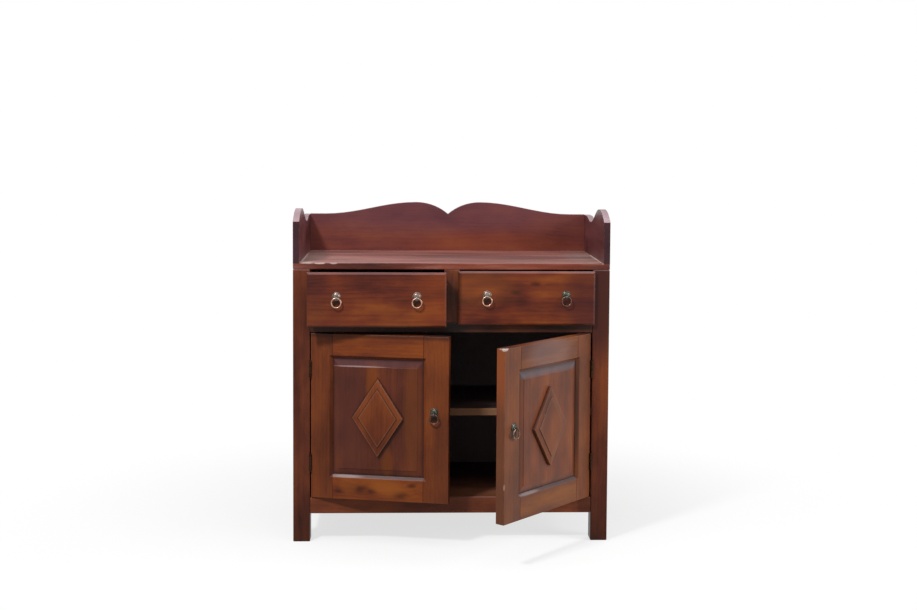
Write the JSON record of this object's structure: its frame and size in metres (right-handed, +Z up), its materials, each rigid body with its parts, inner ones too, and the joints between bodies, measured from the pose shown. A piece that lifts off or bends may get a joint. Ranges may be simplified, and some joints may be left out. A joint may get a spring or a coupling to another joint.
{
  "type": "sideboard",
  "caption": "Hardwood sideboard with lipped drawers over framed doors with raised lozenges, ring pulls, an inner shelf and a scalloped gallery around the top.",
  "frame": {"origin": "on the floor, under the middle of the whole outline with the right door open", "axes": "+X to the right of the front as seen, +Y to the back, +Z up"},
  "size_m": [0.9, 0.7572, 0.952],
  "materials": {
    "post_wood": "dark red-brown stain under satin varnish",
    "rail_wood": "red-brown stain under satin varnish",
    "top_wood": "red-brown stain under satin varnish",
    "gallery_wood": "red-brown stain under satin varnish",
    "drawer_wood": "red-brown stain under satin varnish",
    "frame_wood": "orange-brown stain under satin varnish",
    "panel_wood": "red-brown stain under satin varnish",
    "inside_wood": "thin dark stain, matt",
    "hinge_brass": "dulled brass",
    "rosette_brass": "antique brass",
    "ring_brass": "rubbed antique brass"
  },
  "bodies": {
    "carcass": {"front_left_post": "post_wood", "front_right_post": "post_wood", "back_left_post": "post_wood", "back_right_post": "post_wood", "left_side_panel": "post_wood", "right_side_panel": "post_wood", "back_panel": "inside_wood", "bottom_rail": "rail_wood", "middle_rail": "rail_wood", "drawer_divider": "rail_wood", "bottom_board": "inside_wood", "shelf": "inside_wood", "drawer_dust_board": "inside_wood", "drawer_centre_guide": "inside_wood", "top_board": "top_wood", "gallery_back": "gallery_wood", "gallery_left_side": "gallery_wood", "gallery_right_side": "gallery_wood", "left_upper_hinge_frame_leaf": "hinge_brass", "left_lower_hinge_frame_leaf": "hinge_brass", "right_upper_hinge_frame_leaf": "hinge_brass", "right_lower_hinge_frame_leaf": "hinge_brass"},
    "left_door": {"left_door_hinge_stile": "frame_wood", "left_door_free_stile": "frame_wood", "left_door_top_rail": "frame_wood", "left_door_bottom_rail": "frame_wood", "left_door_panel": "panel_wood", "left_door_lozenge": "panel_wood", "left_upper_hinge_door_leaf": "hinge_brass", "left_lower_hinge_door_leaf": "hinge_brass", "left_door_pull_rosette": "rosette_brass"},
    "right_door": {"right_door_hinge_stile": "frame_wood", "right_door_free_stile": "frame_wood", "right_door_top_rail": "frame_wood", "right_door_bottom_rail": "frame_wood", "right_door_panel": "panel_wood", "right_door_lozenge": "panel_wood", "right_upper_hinge_door_leaf": "hinge_brass", "right_lower_hinge_door_leaf": "hinge_brass", "right_door_pull_rosette": "rosette_brass"},
    "left_drawer": {"left_drawer_front": "drawer_wood", "left_drawer_left_side": "inside_wood", "left_drawer_right_side": "inside_wood", "left_drawer_back": "inside_wood", "left_drawer_bottom": "inside_wood", "left_drawer_left_pull_rosette": "rosette_brass", "left_drawer_right_pull_rosette": "rosette_brass"},
    "right_drawer": {"right_drawer_front": "drawer_wood", "right_drawer_left_side": "inside_wood", "right_drawer_right_side": "inside_wood", "right_drawer_back": "inside_wood", "right_drawer_bottom": "inside_wood", "right_drawer_left_pull_rosette": "rosette_brass", "right_drawer_right_pull_rosette": "rosette_brass"},
    "left_drawer_left_ring": {"left_drawer_left_pull_ring": "ring_brass"},
    "left_drawer_right_ring": {"left_drawer_right_pull_ring": "ring_brass"},
    "right_drawer_left_ring": {"right_drawer_left_pull_ring": "ring_brass"},
    "right_drawer_right_ring": {"right_drawer_right_pull_ring": "ring_brass"},
    "left_door_ring": {"left_door_pull_ring": "ring_brass"},
    "right_door_ring": {"right_door_pull_ring": "ring_brass"}
  },
  "joints": [
    {"name": "left_door_hinge", "type": "hinge", "parent": "carcass", "child": "left_door", "pos_m": [-0.401, -0.08542, 0.3645], "axis": [0, 0, -1], "range_deg": [-11.7, 153.3]},
    {"name": "right_door_hinge", "type": "hinge", "parent": "carcass", "child": "right_door", "pos_m": [0.401, -0.08542, 0.3645], "axis": [0, 0, 1], "range_deg": [-48, 117]},
    {"name": "left_drawer_slide", "type": "slide", "parent": "carcass", "child": "left_drawer", "axis": [0, -1, 0], "range_m": [-0.044, 0.246]},
    {"name": "right_drawer_slide", "type": "slide", "parent": "carcass", "child": "right_drawer", "axis": [0, -1, 0], "range_m": [0, 0.29]},
    {"name": "left_drawer_left_ring_swing", "type": "hinge", "parent": "left_drawer", "child": "left_drawer_left_ring", "pos_m": [-0.3245, -0.14792, 0.7073], "axis": [-1, 0, 0], "range_deg": [0, 150]},
    {"name": "left_drawer_right_ring_swing", "type": "hinge", "parent": "left_drawer", "child": "left_drawer_right_ring", "pos_m": [-0.0995, -0.14792, 0.7073], "axis": [-1, 0, 0], "range_deg": [0, 150]},
    {"name": "right_drawer_left_ring_swing", "type": "hinge", "parent": "right_drawer", "child": "right_drawer_left_ring", "pos_m": [0.0995, -0.10392, 0.7073], "axis": [-1, 0, 0], "range_deg": [0, 150]},
    {"name": "right_drawer_right_ring_swing", "type": "hinge", "parent": "right_drawer", "child": "right_drawer_right_ring", "pos_m": [0.3245, -0.10392, 0.7073], "axis": [-1, 0, 0], "range_deg": [0, 150]},
    {"name": "left_door_ring_swing", "type": "hinge", "parent": "left_door", "child": "left_door_ring", "pos_m": [-0.0518, -0.16336, 0.3827], "axis": [-0.9792, 0.2028, 0], "range_deg": [0, 150]},
    {"name": "right_door_ring_swing", "type": "hinge", "parent": "right_door", "child": "right_door_ring", "pos_m": [0.16571, -0.35496, 0.3827], "axis": [-0.6691, -0.7431, 0], "range_deg": [0, 150]}
  ]
}
